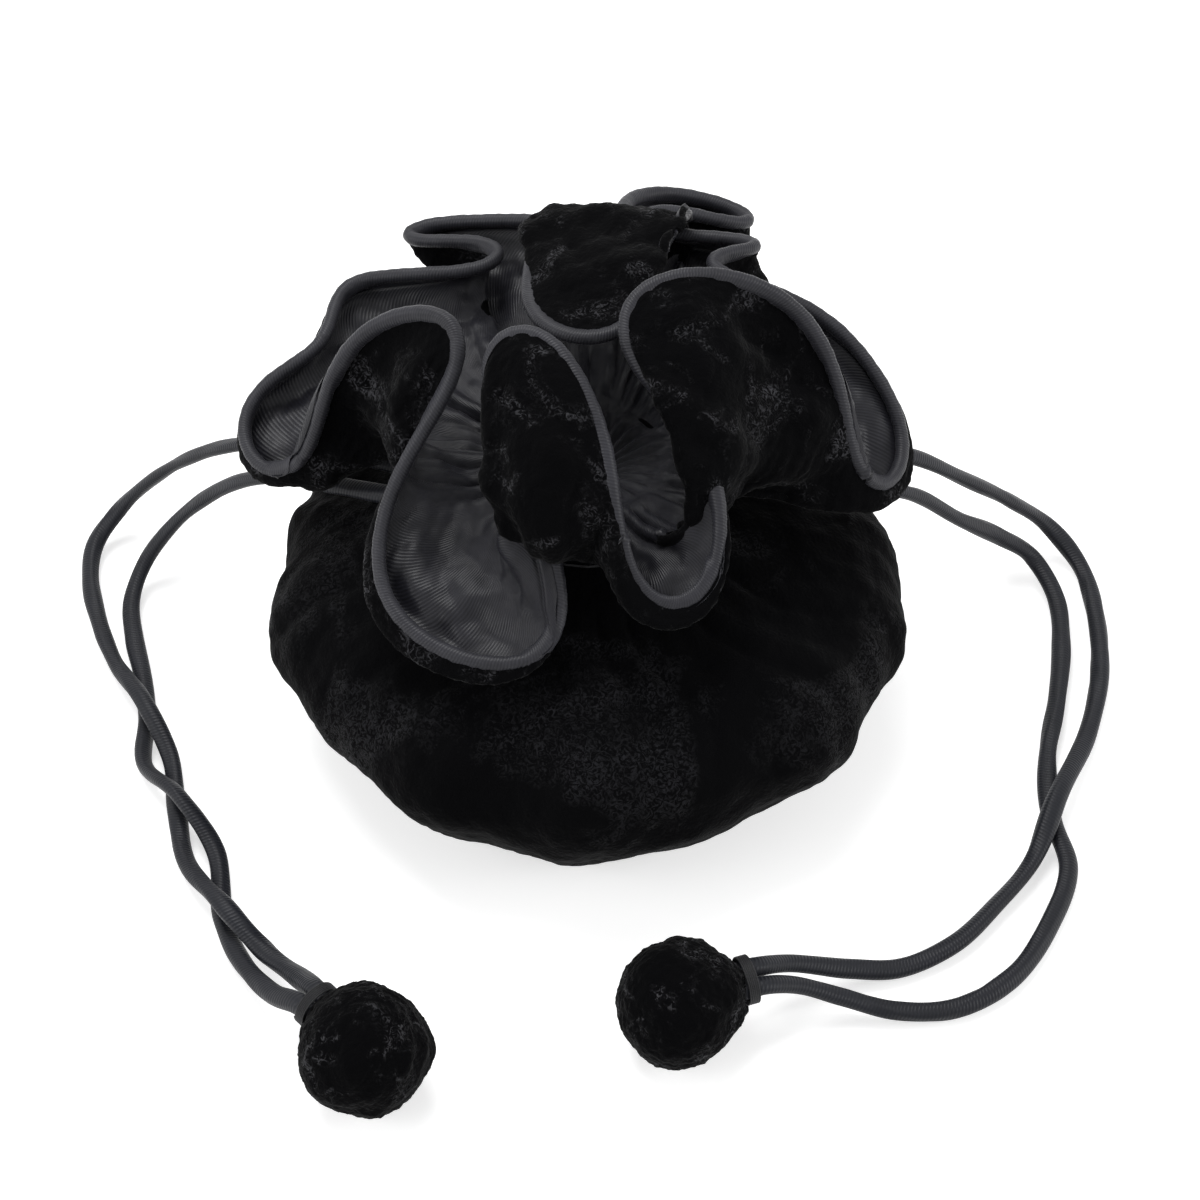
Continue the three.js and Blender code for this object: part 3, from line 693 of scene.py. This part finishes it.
# %% The slanted rib of satin and twill, as a group
def rib_group():
    """Rib is a fine slanted line pattern on the cloth's own uv, Shade its slow change of tone."""
    group, start, end = new_group("slanted_rib", [("Ribs", 1.4), ("Slant", 0.8)])
    nodes, links = group.nodes, group.links
    for label in ("Rib", "Shade"):
        group.interface.new_socket(label, in_out="OUTPUT", socket_type="NodeSocketFloat")
    uv = nodes.new("ShaderNodeUVMap")
    uv.uv_map = "cloth"
    split = nodes.new("ShaderNodeSeparateXYZ")
    links.new(uv.outputs["UV"], split.inputs[0])
    slanted = math_node(nodes, links, "MULTIPLY", split.outputs["Y"], start.outputs["Slant"])
    across = math_node(nodes, links, "ADD", split.outputs["X"], slanted)
    phase = math_node(nodes, links, "MULTIPLY", across, start.outputs["Ribs"])
    wave = math_node(nodes, links, "SINE", math_node(nodes, links, "MULTIPLY", phase, 2 * math.pi), 0)
    rib = math_node(nodes, links, "ADD", math_node(nodes, links, "MULTIPLY", wave, 0.5), 0.5)
    links.new(rib, end.inputs["Rib"])
    place = nodes.new("ShaderNodeTexCoord").outputs["Object"]
    slow = noise_node(nodes, links, place, 70, 4)
    fine = noise_node(nodes, links, place, 900, 2)
    cloudy = math_node(nodes, links, "ADD", math_node(nodes, links, "MULTIPLY", slow, 0.6),
                       math_node(nodes, links, "MULTIPLY", fine, 0.2))
    shade = math_node(nodes, links, "ADD", cloudy, math_node(nodes, links, "MULTIPLY", rib, 0.2))
    links.new(shade, end.inputs["Shade"])
    return group


NAP, RIB = nap_group(), rib_group()
print("groups:", NAP.name, "and", RIB.name)

# %% [markdown]
# ## Materials
# Velvet gets its patches of nap in colour and roughness at once: the lying pile is smoother, and its lighter
# colour is painted sheen where that pile catches the light.
# Satin takes its tone from the rib. Thread, board and wadding need only a fine change of tone.

# %% Materials
def new_material(name, roughness, specular, sheen=0.0, sheen_roughness=0.3):
    material = bpy.data.materials.new(name)
    material.use_nodes = True
    shader = material.node_tree.nodes["Principled BSDF"]
    shader.inputs["Roughness"].default_value = roughness
    shader.inputs["Specular IOR Level"].default_value = specular
    shader.inputs["Sheen Weight"].default_value = sheen
    shader.inputs["Sheen Roughness"].default_value = sheen_roughness
    return material, shader


def bump(material, height, shader, distance, strength):
    node = material.node_tree.nodes.new("ShaderNodeBump")
    node.inputs["Distance"].default_value = distance
    node.inputs["Strength"].default_value = strength
    material.node_tree.links.new(height, node.inputs["Height"])
    material.node_tree.links.new(node.outputs["Normal"], shader.inputs["Normal"])


def velvet(name, patch_scale, tuft_scale, painted_sheen):
    material, shader = new_material(name, 0.8, 0.05, sheen=0.035, sheen_roughness=0.35)
    nodes, links = material.node_tree.nodes, material.node_tree.links
    nap = nodes.new("ShaderNodeGroup")
    nap.node_tree = NAP
    nap.inputs["Patch Scale"].default_value = patch_scale
    nap.inputs["Tuft Scale"].default_value = tuft_scale
    # The light end of this ramp is painted sheen: the lying pile is coloured lighter where it would catch the
    # light.
    colour = ramp_node(nodes, links, nap.outputs["Patches"],
                       [(0.0, (0.0008, 0.0008, 0.0011)), (0.3, (0.004, 0.004, 0.0046)), (1.0, painted_sheen)])
    links.new(colour, shader.inputs["Base Color"])
    rough = ramp_node(nodes, links, nap.outputs["Patches"], [(0.0, 0.9), (1.0, 0.55)])
    links.new(rough, shader.inputs["Roughness"])
    bump(material, nap.outputs["Height"], shader, 0.0006, 0.5)
    return material


def satin(name, dark, light, ribs, slant, roughness, strength):
    material, shader = new_material(name, roughness, 0.22, sheen=0.03)
    nodes, links = material.node_tree.nodes, material.node_tree.links
    rib = nodes.new("ShaderNodeGroup")
    rib.node_tree = RIB
    rib.inputs["Ribs"].default_value = ribs
    rib.inputs["Slant"].default_value = slant
    colour = ramp_node(nodes, links, rib.outputs["Shade"], [(0.3, dark), (0.7, light)])
    links.new(colour, shader.inputs["Base Color"])
    rough = ramp_node(nodes, links, rib.outputs["Rib"], [(0.0, roughness + 0.12), (1.0, roughness - 0.05)])
    links.new(rough, shader.inputs["Roughness"])
    bump(material, rib.outputs["Rib"], shader, 0.00012, strength)
    return material


def speckled(name, dark, light, scale, roughness):
    """Thread, wadding and board: plain materials with a fine change of tone."""
    material, shader = new_material(name, roughness, 0.3)
    nodes, links = material.node_tree.nodes, material.node_tree.links
    place = nodes.new("ShaderNodeTexCoord").outputs["Object"]
    grain = noise_node(nodes, links, place, scale, 3)
    links.new(ramp_node(nodes, links, grain, [(0.3, dark), (0.7, light)]), shader.inputs["Base Color"])
    bump(material, grain, shader, 0.0002, 0.4)
    return material


finishes = {
    # The last colour given to each velvet is its painted sheen on the lying pile.
    "velvet": velvet("black_velvet", 75, 1100, (0.045, 0.045, 0.05)),
    "wall_velvet": velvet("wall_velvet", 30, 1100, (0.012, 0.012, 0.014)),
    "ball_velvet": velvet("ball_velvet", 120, 1300, (0.055, 0.055, 0.06)),
    "satin_lining": satin(
        "lining_satin", (0.0045, 0.0045, 0.006), (0.020, 0.020, 0.026), 1.0, 0.9, 0.36, 0.4
    ),
    "satin_piping": satin(
        "piping_satin", (0.013, 0.013, 0.016), (0.034, 0.034, 0.041), 1.5, 3.0, 0.40, 0.4
    ),
    "satin_cord": satin("cord_satin", (0.005, 0.0055, 0.008), (0.012, 0.013, 0.018), 1.3, 3.0, 0.42, 0.45),
    "thread": speckled("black_thread", (0.006, 0.006, 0.007), (0.016, 0.016, 0.018), 2500, 0.6),
    "board": speckled("grey_board", (0.2, 0.18, 0.16), (0.3, 0.28, 0.25), 900, 0.85),
    "filling": speckled("white_wadding", (0.6, 0.6, 0.58), (0.8, 0.8, 0.78), 600, 0.95),
}
print(len(finishes), "finishes")

# %% [markdown]
# ## Put the finishes on and tie the bag's pieces and the balls to their bodies
# The plain solids of the cloth pieces are replaced by the shaped ones. The strands stay as they were laid
# out.

# %% Finishes of the frame's own pieces
for entry in frame["record"]["subparts"]:
    piece = frame["nodes"][entry["node"]]
    piece.data.materials.clear()
    piece.data.materials.append(finishes[entry["material_slot"]])

# %% Tie the cloth and the balls to their bodies
def finish(piece, look, slot, *nodes):
    piece.data.materials.append(finishes[look])
    if nodes:
        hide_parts(*nodes)


finish(wall_cloth, "wall_velvet", "velvet", "side_velvet")
finish(wall_lining, "satin_lining", "satin_lining", "side_lining")
finish(frill_velvet, "velvet", "velvet", "frill_velvet")
finish(frill_lining, "satin_lining", "satin_lining", "frill_lining")
finish(piping, "satin_piping", "satin_piping", "piping_cover", "piping_cord")
for piece in (wall_cloth, wall_lining, frill_velvet, frill_lining, piping):
    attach(piece, "bag")
for side, piece in balls.items():
    finish(piece, "ball_velvet", "velvet", side + "_ball_cover", side + "_ball_stuffing")
    finish(whippings[side], "thread", "thread", side + "_ball_whipping")
    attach(piece, side + "_ball")
    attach(whippings[side], side + "_ball")
print("the bag carries 5 cloth pieces, each ball its cover and whipping")

# %% Strands, finished where they were laid out
for name, (piece, path, length) in strands.items():
    side = name.split("_")[0]
    finish(piece, "satin_cord", "satin_cord", name)
    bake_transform(piece)

# %% [markdown]
# ## Fullness
# The modelled cloth has less fullness at the neck than real gathered cloth; real cloth would be cut larger,
# the frill most of all.

# %% [markdown]
# ## Floor and light
# A plain white floor fades into a white world. One broad softbox above and behind draws the nap and the
# satin's folds; two weaker ones fill the sides. The floor keeps the shadow and is lifted to white only for
# the camera.

# %% Floor
SEEN_LIFT = 0.55


def seen_ray(nodes, links):
    """1 for what the camera sees directly, in gloss or through glass."""
    path = nodes.new("ShaderNodeLightPath")
    gloss = math_node(nodes, links, "MAXIMUM", path.outputs["Is Camera Ray"], path.outputs["Is Glossy Ray"])
    return math_node(nodes, links, "MAXIMUM", gloss, path.outputs["Is Transmission Ray"])


bpy.ops.mesh.primitive_plane_add(size=6)
floor = bpy.context.object
floor.name = "floor"
floor.location.z = -0.0004
floor_material, floor_shader = new_material("floor_white", 0.9, 0.1)
floor_shader.inputs["Base Color"].default_value = (0.86, 0.86, 0.86, 1)
floor_shader.inputs["Emission Color"].default_value = (1, 1, 1, 1)
floor_nodes, floor_links = floor_material.node_tree.nodes, floor_material.node_tree.links
lift = math_node(floor_nodes, floor_links, "MULTIPLY", seen_ray(floor_nodes, floor_links), SEEN_LIFT)
floor_links.new(lift, floor_shader.inputs["Emission Strength"])
floor.data.materials.append(floor_material)
print("floor lies at", round(floor.location.z / MM, 2), "mm")

# %% World and lamps
world = bpy.data.worlds.new("studio")
bpy.context.scene.world = world
world.use_nodes = True
nodes, links = world.node_tree.nodes, world.node_tree.links
background = nodes["Background"]
background.inputs["Color"].default_value = (1, 1, 1, 1)
seen = seen_ray(nodes, links)
lifted = math_node(nodes, links, "MULTIPLY", seen, SEEN_LIFT)
strength = math_node(nodes, links, "ADD", lifted, 1 - SEEN_LIFT)
links.new(strength, background.inputs["Strength"])


def softbox(name, place, aim, width, power):
    data = bpy.data.lights.new(name, "AREA")
    data.size = width
    data.energy = power
    lamp = bpy.data.objects.new(name, data)
    bpy.context.scene.collection.objects.link(lamp)
    lamp.location = place
    direction = np.array(aim) - np.array(place)
    flat = math.hypot(direction[0], direction[1])
    heading = math.atan2(direction[1], direction[0]) - math.pi / 2
    lamp.rotation_euler = (math.atan2(flat, -direction[2]), 0, heading)


softbox("top_softbox", (-0.15, 0.25, 0.85), (0, 0, 0.05), 0.5, 5.0)
softbox("left_fill", (-0.8, -0.3, 0.5), (0, 0, 0.05), 0.5, 3.0)
softbox("right_fill", (0.8, -0.2, 0.4), (0, 0, 0.05), 0.4, 2.5)
bpy.context.scene.view_settings.view_transform = "Standard"
